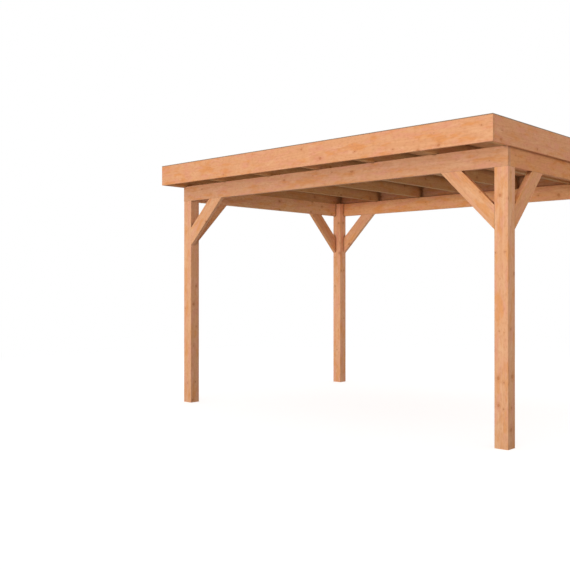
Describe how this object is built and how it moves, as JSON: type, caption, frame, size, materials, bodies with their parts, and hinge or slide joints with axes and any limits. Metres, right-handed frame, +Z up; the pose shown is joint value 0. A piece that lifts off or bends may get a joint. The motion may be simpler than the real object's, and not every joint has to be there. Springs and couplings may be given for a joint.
{
  "type": "garden veranda",
  "caption": "Free-standing open timber veranda: square posts with corner braces carry a ring of beams, joists and a flat roof with deep fascia boards that reaches out at the front.",
  "frame": {"origin": "on the ground, under the middle of the roof", "axes": "+X along the front beam from left to right, +Y from the front to the back, +Z up"},
  "size_m": [4.036, 3.079, 2.629],
  "materials": {
    "timber": "planed softwood, oiled, matt",
    "roof_boards": "planed tongue-and-groove boards",
    "roof_sheet": "matt black roofing rubber",
    "capping": "bronze-brown coated flat strip"
  },
  "bodies": {
    "root": {"beam_back": "timber", "beam_front": "timber", "beam_left": "timber", "beam_right": "timber", "brace_back_left": "timber", "brace_back_right": "timber", "brace_front_left": "timber", "brace_front_right": "timber", "brace_left_back": "timber", "brace_left_front": "timber", "brace_right_back": "timber", "brace_right_front": "timber", "capping_back": "capping", "capping_front": "capping", "capping_left": "capping", "capping_right": "capping", "fascia_back": "timber", "fascia_front": "timber", "fascia_left": "timber", "fascia_right": "timber", "joist_1": "timber", "joist_2": "timber", "joist_3": "timber", "joist_4": "timber", "joist_5": "timber", "joist_6": "timber", "joist_7": "timber", "post_back_left": "timber", "post_back_right": "timber", "post_front_left": "timber", "post_front_right": "timber", "roof_deck": "roof_boards", "roof_sheet": "roof_sheet"}
  },
  "joints": []
}
